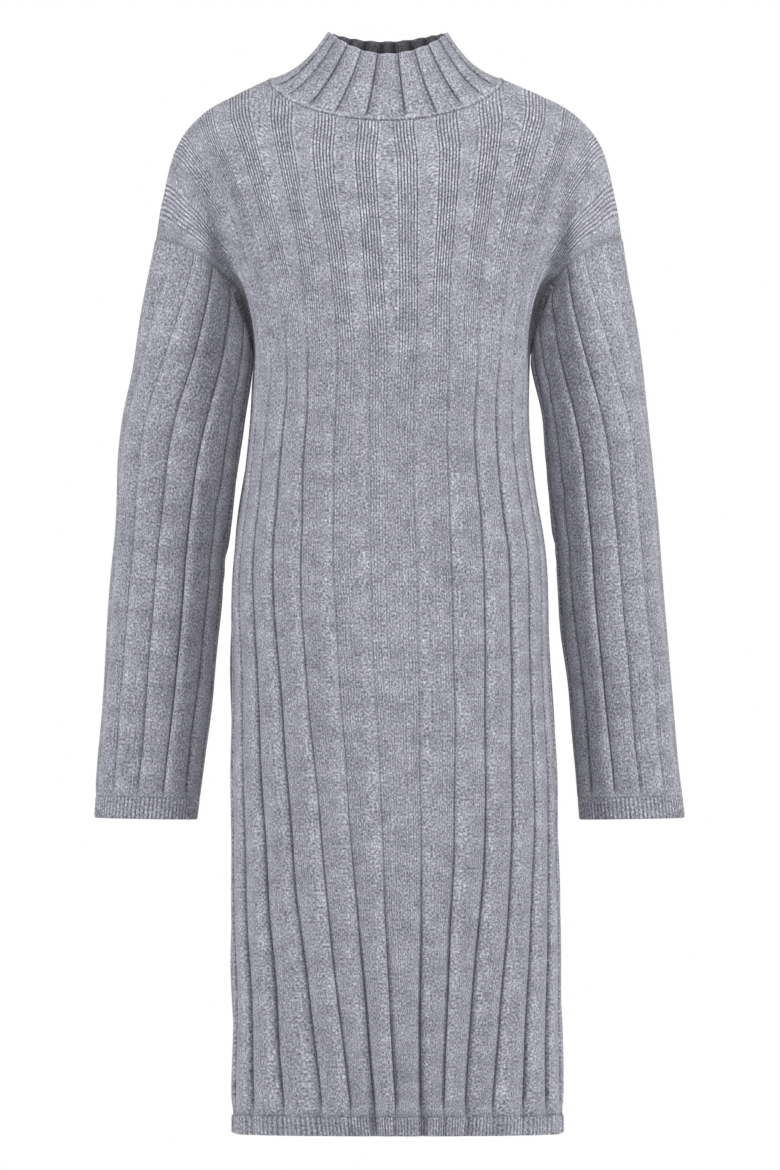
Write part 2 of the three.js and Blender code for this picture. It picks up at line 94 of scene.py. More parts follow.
# Sections of the body at heights z: half widths, depths, the angles in degrees of three ribs in front, and
# the share of a repeat that its smooth band takes up
BODY = {
    "z": [-1000, -870, -760, -645, -530, -452, -380, -320, -262],
    "left": [150, 149.5, 151, 150.5, 151, 147.5, 139, 132.5, 130],
    "right": [165, 163, 161, 157, 152, 147.5, 137, 132, 134],
    "front": [114, 113, 112, 110, 108, 107, 109, 113, 118],
    "back": [110, 109, 108, 108, 106, 101, 97, 99, 104],
    "wale_left": [-26, -32, -36.8, -41, -45, -47.6, -48, -48, -47.5],
    "wale_mid": [4, 2.8, 2.6, 2.2, 1.7, 1.4, 1.2, 0.8, 0.4],
    "wale_right": [33.5, 38.5, 43.8, 46.6, 48, 48.8, 49, 48.5, 48],
    "band": [0.24, 0.24, 0.24, 0.25, 0.26, 0.28, 0.32, 0.38, 0.42],
}

# The armhole edge and shoulder at rib numbers out from the collar, and how the cloth leaves them
SHOULDER = {
    "rib": [2.74, 3.5, 4.5, 5.5, 6.5, 7],
    "x": [112, 145, 178, 203, 217, 222],
    "z": [2, -13, -32, -64, -118, -150],
    "shift": [-4, -2.5, -1.5, -1, -1, -1],
    "inward": [0, 0.02, 0.14, 0.4, 0.5, 0.55],
    "drop": [0.5, 0.35, 0.3, 0.2, 0.15, 0.12],
    "reach": [80, 86, 94, 100, 100, 100],
}

# The sleeves at heights z: where their outer and inner sides lie, and their depths from their middle
SLEEVE = {
    "z": [-701, -580, -452, -320, -262, -150],
    "left_outer": [281, 273, 264, 254, 243, 222],
    "left_inner": [183, 168, 155, 138, 135, 140],
    "right_inner": [180, 169, 156, 144.5, 140, 140],
    "right_outer": [280.5, 268, 257.5, 246, 239, 222],
    "front": [43, 45, 47, 49, 49, 47],
    "back": [43, 45, 46, 48, 48, 47],
    "middle": [8, 12, 14, 10, 5, 0],
}

# Troughs over the front and back, mirrored to the other side: from x1, z1 to x2, z2
CREASES = named_rows(
    ["x1", "z1", "x2", "z2", "width", "depth"],
    (170, -98, 139, -262, 11, 13),
    (150, -300, 118, -385, 10, 4),
)
CREASE_EASE = 0.15
CREASE_FADE = 40

# Folds of the skirt at rib numbers of one face, which grow from their top down to the hem
SKIRT_FOLDS = named_rows(
    ["face", "rib", "top", "depth", "width"],
    (-1, 0.64, -560, 8, 0.34),
    (-1, -1.64, -600, 6, 0.36),
    (-1, 2.64, -640, 4, 0.34),
    (-1, -3.64, -620, 3.5, 0.34),
    (1, -0.64, -580, 7, 0.36),
    (1, 1.64, -520, 5, 0.34),
    (1, -2.64, -640, 5, 0.34),
    (1, 4.64, -600, 4, 0.34),
)

# Hollows and ridges of the hanging cloth: from x1, z1 to x2, z2 on one face. width is half
# across, and depth is how deep, or how high where it is below 0
BODY_FOLDS = named_rows(
    ["face", "x1", "z1", "x2", "z2", "width", "depth"],
    (-1, -158, -130, -138, -250, 10, 5),
    (-1, 158, -130, 138, -250, 10, 5),
    (1, -160, -130, -138, -250, 10, 4),
    (1, 160, -130, 138, -250, 10, 4),
    (-1, -128, -262, -70, -330, 16, 1.6),
    (-1, 138, -250, 84, -330, 15, 1.8),
    (-1, -60, -205, -58, -420, 20, -1.8),
    (-1, 62, -200, 66, -400, 20, -1.8),
    (-1, 2, -190, 4, -330, 16, 2.4),
    (-1, -122, -395, -60, -440, 18, 1.5),
    (-1, 122, -405, 66, -452, 18, 1.5),
    (1, -134, -262, -66, -350, 16, 2),
    (1, 134, -258, 70, -340, 16, 2),
    (1, -70, -160, -62, -330, 24, -2),
    (1, 72, -160, 60, -330, 24, -2),
    (1, -96, -420, 10, -446, 15, 1.8),
    (1, 100, -432, 12, -470, 15, 1.6),
)
FOLD_EASE = 0.12

# Soft folds of the sleeves. turn is 0 on the outer side and 0.25 in front, along runs down to the cuff;
# slant is how much along changes over one unit of turn
SLEEVE_FOLDS = named_rows(
    ["side", "turn", "along", "slant", "reach", "width", "depth"],
    (-1, 0.42, 0.42, 0.5, 0.16, 10, 1.8),
    (-1, 0.36, 0.52, -0.35, 0.12, 12, 1.5),
    (-1, 0.3, 0.1, 1.0, 0.14, 9, 2),
    (-1, 0.66, 0.44, -0.5, 0.16, 11, 2),
    (-1, 0.72, 0.12, -0.9, 0.14, 10, 2),
    (1, 0.4, 0.38, 0.5, 0.16, 10, 2),
    (1, 0.34, 0.5, -0.4, 0.13, 12, 1.6),
    (1, 0.31, 0.08, 0.9, 0.14, 9, 2.2),
    (1, 0.64, 0.4, -0.5, 0.16, 11, 2),
    (1, 0.7, 0.14, -0.9, 0.14, 10, 2),
)

# Lengths of a panel, a sleeve and the collar, a repeat's width at the panels' edges and at the hem, and the
# heights that one unit of along covers above the underarm and next to the top seams
BODY_RUN = 1000
SLEEVE_RUN = 520
COLLAR_RUN = 70
EDGE_REPEAT = 34
HEM_REPEAT = 31
YOKE_HEIGHT = 900
TOP_RUN = 1100

# The wall, its seams, and the crease under the arm into which the armhole's seam sinks
WALL = 2.4
SEAM_DROP = 0.9
SEAM_WIDTH = 1.6
UNDERARM_CREASE = {"depth": 7, "from_underarm": 0.14, "over": 0.1, "width": 9, "clear": 0.08}

# Rows over each piece, as shares of its length or in mm from its edge
BODY_ROWS = [*np.linspace(0, BELOW_SHARE, 105), *np.linspace(BELOW_SHARE, 0.985, 56)[1:]]
BODY_ROWS += [0.99, 0.994, 0.997, 0.9985, 1]
SLEEVE_ROWS = [0, 0.0015, 0.004, 0.007, *np.linspace(0.01, 0.99, 149), 0.994, 0.998, 0.9993, 1]
COLLAR_ROWS = [0, 0.006, 0.014, 0.024, 0.036, 0.05, 0.066, *np.linspace(0.085, 0.98, 27), 0.991, 0.997, 1]
HEM_ROWS = [HEM_BAND, 17.9, 17.6, 17, 15.5, 12, 8.5, 5, 2.5, 1.2, 0.6, 0.3, 0]
CUFF_ROWS = [0, 0.3, 0.8, 1.6, 3, 6, 9.5, 13, 16.5, 19, 20.3, 20.8, CUFF_BAND]

# Columns over one repeat, counted from the crown of a smooth band. The inner wall has every fourth one. On
# the panels the lower band runs from LOW_START to LOW_END, and its step ends at STEP_END
INNER_STEP = 4
REPEAT_COLUMNS = 36
LOW_START = 4
LOW_END = 32
STEP_END = 34
HALF_STEP = 0.03
STEP_LEAN = 0.045

# The same for the ribs of the tubes. crown is how much of a smooth band's half is flat, and lean is how far
# the step leans over its groove. The form of their steps is given by column
SLEEVE_TUBE = {"columns": 20, "repeats": SLEEVE_REPEATS, "low_end": 16, "crown": 0.75, "lean": 0.04}
COLLAR_TUBE = {"columns": 16, "repeats": COLLAR_REPEATS, "low_end": 12, "crown": 0.9, "lean": 0.03}
SLEEVE_STEP = [(0, 0), (4, 0.07), (8, 0.22), (12, 0.5), (15, 0.85), (16, 1), (17, 0.7), (18, 0.1), (20, 0)]
COLLAR_STEP = [(0, 0), (4, 0.1), (7, 0.35), (10, 0.75), (12, 1), (13, 0.7), (14, 0.1), (16, 0)]
SLEEVE_DEPTH = {"top": 2, "end": 3.3, "over": 0.5, "change": 0.3, "phases": (3.7, 4)}
COLLAR_DEPTH = {"seam": 2.2, "rim": 1.5, "change": 0.25, "phase": 2.9}

# The fine ribs of a lower band where it lies open, and its form where it has closed
FINE_RIBS = 7
FINE_SHARE = 0.575
FINE_BAND = 0.185
FINE_ENDS = {"from": 0.95, "over": 0.045}
FINE_HEIGHT = 0.75
CLOSED_HEIGHT = 0.1
EDGE_RIB = 0.35
LOW_OPEN = [(0, 0), (3, 0), (4, -0.6), (32, -1.1), (34, 0.1), (36, 0)]
STEP_CLOSED = [(32, -1), (33, -0.7), (34, -0.12), (35, 0), (36, 0)]
CLOSED_START = 0.1
CLOSED_POWER = 2.4
LIP = 0.35
FLUTE_DEPTH = 0.8
HEM_BLEND = 0.02

# How the ribs close from the chest down: open is 1 where the lower bands lie open in fine ribs and 0
# where they have closed, and depth is how deep their steps then lie
RIB_STATE = {
    "z": [-1000, -870, -760, -645, -530, -452, -380, -320, -262, -200, -120],
    "open": [0, 0, 0, 0, 0, 0, 0.02, 0.1, 0.35, 0.75, 1],
    "depth": [5.2, 4.6, 3.8, 3, 2.5, 2.2, 2, 1.9, 1.8, 1.6, 1.6],
}
DEPTH_CHANGE = {"share": 0.22, "over_ribs": 5.1, "over_height": 160, "hem_z": -992}

# The middle of the panels, counted in repeats, stays partly open, and closes downwards from a height z
MIDDLE = {"from": 0.4, "over": 3.6, "open": 0.2, "depth": 0.3, "groove": 0.6}
CLOSED_FROM = {"z": -640, "over": 320}

# Small wanderings of the ribs, as two waves down the cloth, and where they start
BODY_SWAY = {"size": 0.016, "long": 46, "short": 19, "share": 0.6, "phases": (2.4, 1.7)}
BODY_STILL = {"middle": 20, "edge": 30, "top": 0.1}
SLEEVE_SWAY = {"size": 0.02, "long": 11, "short": 27, "share": 0.5, "phases": (2.1, 1.3)}
SLEEVE_STILL = {"crown": 3, "step": 2}

# Soft waves of the cloth: their number and height, and how many there are across and down at most
WAVES = 10
BODY_WAVES = {"height": 1.1, "repeats": 28, "seed": 11, "wide": 3, "tall": 7}
SLEEVE_WAVES = {"height": 0.8, "seed": 31, "wide": 2, "tall": 5}
COLLAR_WAVES = {"height": 0.6, "seed": 5, "wide": 4, "tall": 1}

# How near a seam or an end, in mm, the ribs lie flat, and over which share of along the waves and folds end
PANEL_FLAT = {"edge": 4, "top": 3, "waves": 0.2}
SLEEVE_FLAT = {"top": 5, "end": 7, "end_share": 0.7, "folds": 0.03, "grooves": 0.02}
SLEEVE_END = {"share": 0.3, "width": 1.2}

# The collar: where its ribs start, the chain of stitches over its seam, its rolled rim, how the rim waves
# over the ribs and drops in front, and how much shallower the ribs are inside
COLLAR_RIBS = {"from": 3, "over": 6, "height": 0.12, "inside": 0.8}
CHAIN = {"height": 0.7, "at": 1.7, "width": 0.75, "links": 0.1, "per_column": 1.25}
COLLAR_SEAM_WIDTH = 0.9
ROLL = {"over": 1.3, "outside": 1.2, "inside": 0.6}
RIM_WAVE = 0.4
RIM_DROP = {"all_round": 0.9, "front": 1.6}

# The 1x1 rib bands of hem and cuffs, with painted shade between their ribs and painted highlight on them
HEM_RIBS = 110
CUFF_RIBS = 76
BAND_COLUMNS = 6
BAND_HEIGHT = 0.5
BAND_SHADE = 0.5
BAND_TOP = {"over": 0.9, "flat": 0.8, "sink": 0.3, "pale": 0.6}
BAND_ROLL = {"over": 1.4, "outside": 1.3, "inside": 0.6}
HEM_PROUD = 0.1
HEM_CORNER = 8
CUFF_SINK = 0.4
CUFF_WAVES = 0.3

# Painted shade in the yarn's colour: 1 is the dark of a deep groove, and below 0 is painted highlight,
# lighter than the yarn. The ridges' and the open lower bands' values are taken away, as painted highlight
PAINTED_RIDGE_HIGHLIGHT = 0.3
INSIDE_SHADE = 1.08
INSIDE_GROOVE_SHADE = 0.4
UNDERARM_SHADE = {"strength": 0.45, "at": 0.13, "over": 0.12, "panel": 14, "sleeve": 30, "above": 0.7}
SEAM_SHADE = {"armhole": 0.15, "top": 0.4}
OPEN_BAND_PAINTED_LIGHT = 0.16
FINE_SHADE = {"closed": 0.22, "open": 1.0}
GROOVE = {"width": 1.15, "full_depth": 6, "least": 0.35, "most": 0.9}
COLLAR_LOW = {"shade": 0.28, "from": 6, "over": 2, "seam": 2, "seam_over": 3}

# Lines of painted shade: strength, width, and place in columns across the ribs or in mm from an edge. Those
# below 0, and the middle's lines, which are taken away, are painted highlights
MIDDLE_HIGHLIGHT_LINES = [(0.45, 0.9, 14)]
SLEEVE_LINES = [(1, 1.2, 16), (-PAINTED_RIDGE_HIGHLIGHT, 1, 18.4)]
COLLAR_LINES = [(1, 1.1, 12), (0.3, 0.8, 7), (-PAINTED_RIDGE_HIGHLIGHT, 0.8, 14.3)]
COLLAR_SEAM_LINES = [(0.6, 0.9, 0), (-0.5, 0.7, 1.8)]
COLLAR_RIM_LINES = [(-0.4, 1.4, 0)]

# Steps along a form's two directions from which its normals are taken, and places just beside a seam
BODY_STEPS = (0.02, 0.004)
SLEEVE_STEPS = (0.004, 0.01)
COLLAR_STEPS = (0.004, 0.02)
UNDER_HEM = -0.01
BESIDE_SEAM = {"panel": 0.98, "sleeve": 0.02, "collar": 0.05}
ARMHOLE_FLARE = 0.35

# The yarn: linear colours, the places of the colours on the ramp, noises per metre with their weights, the
# weight of the painted shading, and rows and columns of stitches as turns of a wave per metre
MARL = {"dark": (0.085, 0.085, 0.108, 1), "mid": (0.275, 0.276, 0.322, 1), "light": (0.62, 0.62, 0.69, 1)}
MARL_PLACES = {"dark": 0.12, "mid": 0.5, "light": 0.9}
FLECKS = {"scale": (560, 420, 1), "detail": 2.0, "rough": 0.6, "weight": 1.6}
STREAKS = {"scale": (560, 60, 1), "detail": 2.0, "rough": 0.55, "weight": 0.4}
MOTTLES = {"scale": (46, 46, 60), "detail": 3.0, "rough": 0.6, "weight": 0.4}
PAINTED_SHADING_WEIGHT = 0.62
COURSES = 760
STITCHES = 600
STITCH_DEPTH = 0.0004
STITCH_BUMP = 0.5
YARN = {"Roughness": 0.95, "Specular IOR Level": 0.15, "Sheen Weight": 0.25, "Sheen Roughness": 0.5}

# The studio, in metres and watts: each light's place, the point it faces, its width and its power
AMBIENT = 0.2
LIGHTS = [
    ("left_front", (-2.3, -1.1, 0.8), (0, 0, -0.3), 0.9, 62),
    ("right_front", (2.3, -1.1, 0.8), (0, 0, -0.3), 0.9, 68),
    ("front", (0.1, -1.5, 0.45), (0, 0, -0.15), 0.8, 11),
    ("left_back", (-1.3, 2.2, 0.5), (0, 0, -0.5), 0.9, 26),
    ("right_back", (1.3, 2.2, 0.5), (0, 0, -0.5), 0.9, 26),
]
FLOOR = {"reach": 1.5, "z": -1.25, "corners": 96, "colour": (0.82, 0.82, 0.83, 1), "roughness": 0.8}
CAMERA = {"distance": 20, "z": -0.479, "photo_height": 1.1115, "sensor": 36, "clip_end": 100}


def smooth(x):
    """A soft step from 0 to 1."""
    x = np.clip(x, 0, 1)
    return x * x * (3 - 2 * x)


def mix(a, b, t):
    return a + (b - a) * t


def bell(x, width=1.0, at=0.0):
    """1 at a place, and less and less on both sides of it."""
    return np.exp(-(((x - at) / width) ** 2))


def lines(x, rows):
    """Lines of a strength, a width and a place, taken together."""
    return sum(strength * bell(x, width, at) for strength, width, at in rows)


def vec(x, y, z):
    return np.stack(np.broadcast_arrays(x, y, z), -1).astype(float)


def unit(v):
    return v / np.maximum(np.linalg.norm(v, axis=-1, keepdims=True), 1e-9)


def curve(places, values, at):
    """A smooth curve through values at places, each a number or an array as large as at."""
    order = np.argsort(places)
    x = np.array(places, float)[order]
    y = [np.asarray(values[i], float) for i in order]
    at = np.clip(at, x[0], x[-1])
    i = np.clip(np.searchsorted(x, at, side="right") - 1, 0, len(x) - 2)
    slopes = []
    for k in range(len(x)):
        a, b = max(k - 1, 0), min(k + 1, len(x) - 1)
        slopes.append((y[b] - y[a]) / (x[b] - x[a]))
    y = np.stack([np.broadcast_to(v, at.shape) for v in y])
    slopes = np.stack([np.broadcast_to(v, at.shape) for v in slopes])

    def pick(table, k):
        return np.take_along_axis(table, k[None], 0)[0]

    span = x[i + 1] - x[i]
    t = (at - x[i]) / span
    start = pick(y, i) * (1 + 2 * t) * (1 - t) ** 2 + span * pick(slopes, i) * t * (1 - t) ** 2
    end = pick(y, i + 1) * t * t * (3 - 2 * t) + span * pick(slopes, i + 1) * t * t * (t - 1)
    return start + end


def read(table, at, column):
    """A smooth column of a table at places along the table's first column."""
    places = next(iter(table.values()))
    return curve(places, table[column], np.asarray(at, float))


def bezier(a, b, c, d, t):
    t = t[..., None]
    u = 1 - t
    return a * u**3 + b * 3 * u * u * t + c * 3 * u * t * t + d * t**3


def trough(x, z, line, ease):
    """The depth of a hollow that runs along a line of a table, less deep towards its ends."""
    dx, dz = line["x2"] - line["x1"], line["z2"] - line["z1"]
    x, z = x - line["x1"], z - line["z1"]
    t = np.clip((x * dx + z * dz) / (dx * dx + dz * dz), 0, 1)
    away = np.hypot(x - t * dx, z - t * dz)
    return line["depth"] * bell(away, line["width"]) * np.sin(math.pi * mix(ease, 1 - ease, t))


def crease(p):
    push = sum(trough(np.abs(p[..., 0]), p[..., 2], line, CREASE_EASE) for line in CREASES)
    p[..., 1] -= np.sign(p[..., 1]) * push * np.clip(np.abs(p[..., 1]) / CREASE_FADE, 0, 1)
    return p


def section(z, angle, face):
    left, right = read(BODY, z, "left"), read(BODY, z, "right")
    reach = read(BODY, z, "front" if face < 0 else "back")
    x = (right - left) / 2 + (right + left) / 2 * np.sin(angle)
    return vec(x, face * reach * np.abs(np.cos(angle)) ** SECTION_POWER, z)


def wale_angle(z, rib, face):
    if face > 0:
        return math.pi / 2 * rib / EDGE
    stops = [-EDGE, -EDGE / 2, 0, EDGE / 2, EDGE]
    angles = [-90, *(read(BODY, z, c) for c in ("wale_left", "wale_mid", "wale_right")), 90]
    return np.radians(curve(stops, angles, rib))


def collar_seam(angle, face):
    """Where the collar joins the body, at an angle from the middle of a face."""
    c = np.abs(np.cos(angle))
    s = COLLAR_SEAM
    reach = np.where(face < 0, s["front"], s["back"])
    drop = np.where(face < 0, s["front_drop"], s["back_drop"])
    x = NECK_SHIFT + COLLAR_HALF_WIDTH * np.sin(angle)
    return vec(x, face * reach * c, s["side"] - drop * c ** s["power"])


def rib_top(rib, face):
    """Where a rib ends at the collar or the shoulder, and how the cloth leaves there."""
    u, side = np.abs(rib), np.sign(rib)
    angle = np.arcsin(np.clip(rib / COLLAR_EDGE, -1, 1))
    steep = mix(SHOULDER["drop"][0], NECK_STEEP["front" if face < 0 else "back"], np.cos(angle))
    neck = collar_seam(angle, face)
    neck_handle = unit(vec(0, face, -steep)) * SHOULDER["reach"][0]

    def at(column):
        return read(SHOULDER, u, column)

    shoulder = vec(at("shift") + side * at("x"), 0, at("z"))
    handle = unit(vec(-side * at("inward"), face, -at("drop"))) * at("reach")[..., None]
    inside = (u < COLLAR_EDGE)[..., None]
    return np.where(inside, neck, shoulder), np.where(inside, neck_handle, handle)


def body_height(along):
    return mix(-DRESS_LENGTH + HEM_BAND, UNDERARM_Z, along / BELOW_SHARE)


def body(rib, along, face):
    """The body's form: along is 0 at the top of the hem band and 1 at the collar or shoulder seam."""
    rib, along = np.broadcast_arrays(np.asarray(rib, float), np.asarray(along, float))
    t = np.clip(along - BELOW_SHARE, 0, 1) / (1 - BELOW_SHARE)
    near = bell(np.abs(rib), CORNER_REACH, COLLAR_EDGE)
    ease = CORNER_EASE * near * smooth(t / CORNER_FROM) * smooth((1 - t) / CORNER_TO)
    p = run(rib, along, face)
    eased = ease > LEAST_EASE
    if np.any(eased):
        r, a, e = rib[eased], along[eased], ease[eased]
        p[eased] = sum(share * run(r + step * e, a, face) for step, share in CORNER_STEPS)
    return p


def run(rib, along, face):
    """The body's form, with a crease that runs down from the corner of collar and shoulder."""
    z = body_height(np.minimum(along, BELOW_SHARE))
    start = section(z, wale_angle(z, rib, face), face)
    t = np.maximum(along - BELOW_SHARE, 0) / (1 - BELOW_SHARE)
    top, handle = rib_top(rib, face)
    outer = smooth((np.abs(rib) - OUTER_FROM) / (EDGE - OUTER_FROM))
    lift = YOKE_LIFT
    up = mix(lift["share"] * np.linalg.norm(start - top, axis=-1), lift["up"], outer)
    rise = vec(np.sign(rib) * lift["sideways"] * outer, face * lift["forward"] * outer, up)
    above = bezier(start, start + rise, top + handle, top, t)
    return crease(np.where((along <= BELOW_SHARE)[..., None], start, above))


def skirt_fold(rib, along, face):
    z = body_height(along)
    depth = 0
    for f in SKIRT_FOLDS:
        if f["face"] == face:
            grown = smooth((f["top"] - z) / (f["top"] + DRESS_LENGTH))
            depth = depth + f["depth"] * grown * bell(rib, f["width"], f["rib"])
    return depth


def armhole(side, turn):
    """The edge of the panels that the sleeve joins: turn is 0 at the shoulder and 0.5 under the arm."""
    along = mix(BELOW_SHARE, 1, np.abs(1 - 2 * turn))
    front, back = body(side * EDGE, along, -1), body(side * EDGE, along, 1)
    return np.where((turn <= 0.5)[..., None], front, back)


def sleeve(side, turn, along, below=0):
    """The sleeve's form: along is 0 at the armhole and 1 at the cuff, and below is mm under that."""
    turn, along, below = np.broadcast_arrays(*(np.asarray(a, float) for a in (turn, along, below)))
    turn = turn % 1
    name = "left" if side < 0 else "right"
    c, s = np.cos(turn * TURN), np.sin(turn * TURN)

    def ring(z):
        outer = read(SLEEVE, z, name + "_outer")
        inner = read(SLEEVE, z, name + "_inner")
        depth = np.where(s > 0, read(SLEEVE, z, "front"), read(SLEEVE, z, "back"))
        y = read(SLEEVE, z, "middle") - depth * s
        return vec(side * mix(inner, outer, (1 + c) / 2), y, z)

    width = SLEEVE[name + "_outer"][0] - SLEEVE[name + "_inner"][0]
    bottom = CUFF_Z + CUFF_BAND + SLEEVE_TILT * c * width / 2
    hole = armhole(side, turn)
    settle = hole - ring(hole[..., 2])
    under = bell(turn, SLEEVE_EASE["width"], 0.5)
    reach = mix(SLEEVE_EASE["run"], SLEEVE_EASE["underarm"], under)
    p = ring(mix(hole[..., 2], bottom, along) - below)
    return p + settle * (1 - smooth(along / reach))[..., None]


def collar(turn, along):
    """The collar's form: turn 0 is the front, along is 0 at the seam and 1 at the rim."""
    turn, along = np.broadcast_arrays(np.asarray(turn, float), np.asarray(along, float))
    angle = turn * TURN
    face = np.where(np.cos(angle) > 0, -1, 1)
    c = np.abs(np.cos(angle))
    seam = collar_seam(np.arcsin(np.sin(angle)), face)
    r = COLLAR_RIM
    reach = np.where(face < 0, r["front"], r["back"])
    dip = np.where(face < 0, r["front_dip"], r["back_dip"])
    x = RIM_SHIFT + r["half_width"] * np.sin(angle)
    rim = vec(x, face * reach * c, r["side"] - dip * c**2)
    span = rim - seam
    x, y, z = COLLAR_START
    start = vec(span[..., 0] * x, span[..., 1] * y, z + COLLAR_START_MIDDLE * c)
    x, y, z = COLLAR_FINISH
    finish = vec(span[..., 0] * x, span[..., 1] * y, z)
    return bezier(seam, seam + start, rim - finish, rim, along)


def normals(form, u, v, side, steps):
    """The outward normals of a form, by small steps that stay on its own side of any seam."""
    du, dv = steps
    across = form(u + du, v) - form(u - du, v)
    along = form(u, v + dv) - form(u, v - dv)
    return unit(np.cross(across, along) * side)


def body_normals(rib, along, face):
    du, dv = BODY_STEPS
    rib = np.clip(rib, -EDGE + du, EDGE - du)
    along = np.clip(along, UNDER_HEM, 1 - dv)
    return normals(lambda u, v: body(u, v, face), rib, along, -face, BODY_STEPS)


def sleeve_normals(side, turn, along):
    dv = SLEEVE_STEPS[1]
    along = np.clip(along, dv, 1 - dv)
    return normals(lambda u, v: sleeve(side, u, v), turn, along, side, SLEEVE_STEPS)


def collar_normals(turn, along):
    dv = COLLAR_STEPS[1]
    return normals(collar, turn, np.clip(along, dv, 1 - dv), 1, COLLAR_STEPS)


def armhole_normals(side, turn):
    """Shared by the panels and the sleeve at the armhole, between their own."""
    along = mix(BELOW_SHARE, 1, np.abs(1 - 2 * turn))
    own = [body_normals(side * EDGE, along, face) for face in (-1, 1)]
    own = np.where((turn <= 0.5)[..., None], *own)
    own = own + sleeve_normals(side, turn, BESIDE_SEAM["sleeve"])
    middle = armhole(side, np.array([0.0, 0.5])).mean(axis=0)
    return unit(own + ARMHOLE_FLARE * unit(armhole(side, turn) - middle))


def collar_seam_normals(turn):
    """Those of the collar at its seam, between the panels' and its own."""
    angle = turn * TURN
    rib = COLLAR_EDGE * np.sin(angle) * BESIDE_SEAM["panel"]
    own = [body_normals(rib, BESIDE_SEAM["panel"], face) for face in (-1, 1)]
    own = np.where((np.cos(angle) > 0)[..., None], *own)
    return unit(own + collar_normals(turn, BESIDE_SEAM["collar"]))


def piecewise(at, stops):
    """Straight runs between stops of (at, value), where a value may be an array by rows."""
    total = stops[0][1]
    for (a, low), (b, high) in zip(stops, stops[1:]):
        total = total + (high - low) * np.clip((at - a) / (b - a), 0, 1)
    return total


def undulation(facts, u, v, shift=0):
    """Soft waves over u and v, whole ones round u, with the seed moved by a shift."""
    rng = np.random.default_rng(facts["seed"] + shift)
    total = 0
    for _ in range(WAVES):
        across = rng.integers(-facts["wide"], facts["wide"] + 1)
        up = rng.uniform(0.3, 1) * facts["tall"]
        total = total + np.sin(TURN * (across * u + up * v) + rng.uniform(0, TURN))
    return facts["height"] * (total / math.sqrt(WAVES))


def body_waves(rib, along, face):
    return undulation(BODY_WAVES, rib / BODY_WAVES["repeats"] + 0.5, along, face)


def low_band(part):
    """Whether a column is in the lower band, and its fine ribs: 1 on a rib and -1 between two."""
    share = (part - LOW_START) / (LOW_END - LOW_START)
    inside = (share >= 0) & (share <= 1)
    return inside, np.cos(TURN * FINE_RIBS * np.clip(share, 0, 1)) * inside


def relief(part, opened, depth, fine):
    """How far the outside stands out over a repeat at each column."""
    ribs = low_band(part)[1] * np.where(part == LOW_START, EDGE_RIB, 1)
    lying = piecewise(part, LOW_OPEN) + fine * FINE_HEIGHT * ribs
    falling = -np.clip(part / LOW_END, 0, 1) ** CLOSED_POWER
    closed = np.where(part <= LOW_END, falling, piecewise(part, STEP_CLOSED)) * depth
    closed = closed + LIP * bell(part, 1, STEP_END + 0.5) + fine * CLOSED_HEIGHT * ribs
    return mix(closed, lying, opened)


def rib_places(part, band, start, lean, low_end=LOW_END, columns=REPEAT_COLUMNS):
    """Where the columns of a repeat lie across it. The step leans over its groove."""
    end = 0.5 + band / 2
    stops = [(0, 0), (LOW_START, start), (low_end, end - HALF_STEP)]
    stops += [(low_end + STEP_END - LOW_END, end + HALF_STEP - lean), (columns, 1)]
    return piecewise(part, stops)


def repeat_places(part, band, closed):
    start = mix(0.5 + band / 2 - FINE_SHARE, CLOSED_START, closed)
    return rib_places(part, band, start, STEP_LEAN * closed)


def tube_places(part, band, tube):
    start = (0.5 - band / 2) * tube["crown"]
    return rib_places(part, band, start, tube["lean"], tube["low_end"], tube["columns"])


def flute_shape(rib, band):
    """The soft form of a closed repeat, 0 at its crown and 1 at its step."""
    place = np.abs(rib) % 1
    end = 0.5 + band / 2
    return np.where(place < end, (place / end) ** 2, smooth((1 - place) / (1 - end)) ** 1.5)


def depth_change(repeat, z):
    """How the depth of the ribs differs between them and down each."""
    c = DEPTH_CHANGE
    return 1 + c["share"] * np.sin(c["over_ribs"] * repeat + 1 + z / c["over_height"])


def fold_depth(p, face):
    folds = [fold for fold in BODY_FOLDS if fold["face"] == face]
    return sum(trough(p[..., 0], p[..., 2], fold, FOLD_EASE) for fold in folds)


def underarm_crease(turn, away):
    c = UNDERARM_CREASE
    off = np.abs(turn - 0.5)
    near = smooth(off / c["clear"]) * bell(off, c["over"], c["from_underarm"])
    return c["depth"] * near * bell(away, c["width"])


def underarm_shade(turn, away, width):
    s = UNDERARM_SHADE
    return s["strength"] * bell(away, width) * bell(np.abs(turn - 0.5), s["over"], s["at"])


def coarse(grid):
    return grid[::INNER_STEP, ::INNER_STEP]


def quad_corners(rows, cols):
    """Row and column numbers of the corners of each square of a grid."""
    i, j = (a.ravel()[:, None] for a in np.meshgrid(np.arange(rows), np.arange(cols), indexing="ij"))
    return i + np.array((0, 0, 1, 1)), j + np.array((0, 1, 1, 0))


def rim_corners(rows, cols, in_rows, in_cols, closed):
    """For each face that joins the walls at an edge: its corners on the inner and on the outer one."""
    rims = []
    step = range(INNER_STEP + 1)
    for m in range(in_cols if closed else in_cols - 1):
        near = [(0, m * INNER_STEP + s) for s in step]
        far = [(rows - 1, m * INNER_STEP + s) for s in step]
        rims.append(([(0, m), (0, m + 1)], near[::-1]))
        rims.append(([(in_rows - 1, m + 1), (in_rows - 1, m)], far))
    if closed:
        return rims
    for k in range(in_rows - 1):
        left = [(k * INNER_STEP + s, 0) for s in step]
        right = [(k * INNER_STEP + s, cols - 1) for s in step]
        rims.append(([(k + 1, 0), (k, 0)], left))
        rims.append(([(k, in_cols - 1), (k + 1, in_cols - 1)], right[::-1]))
    return rims


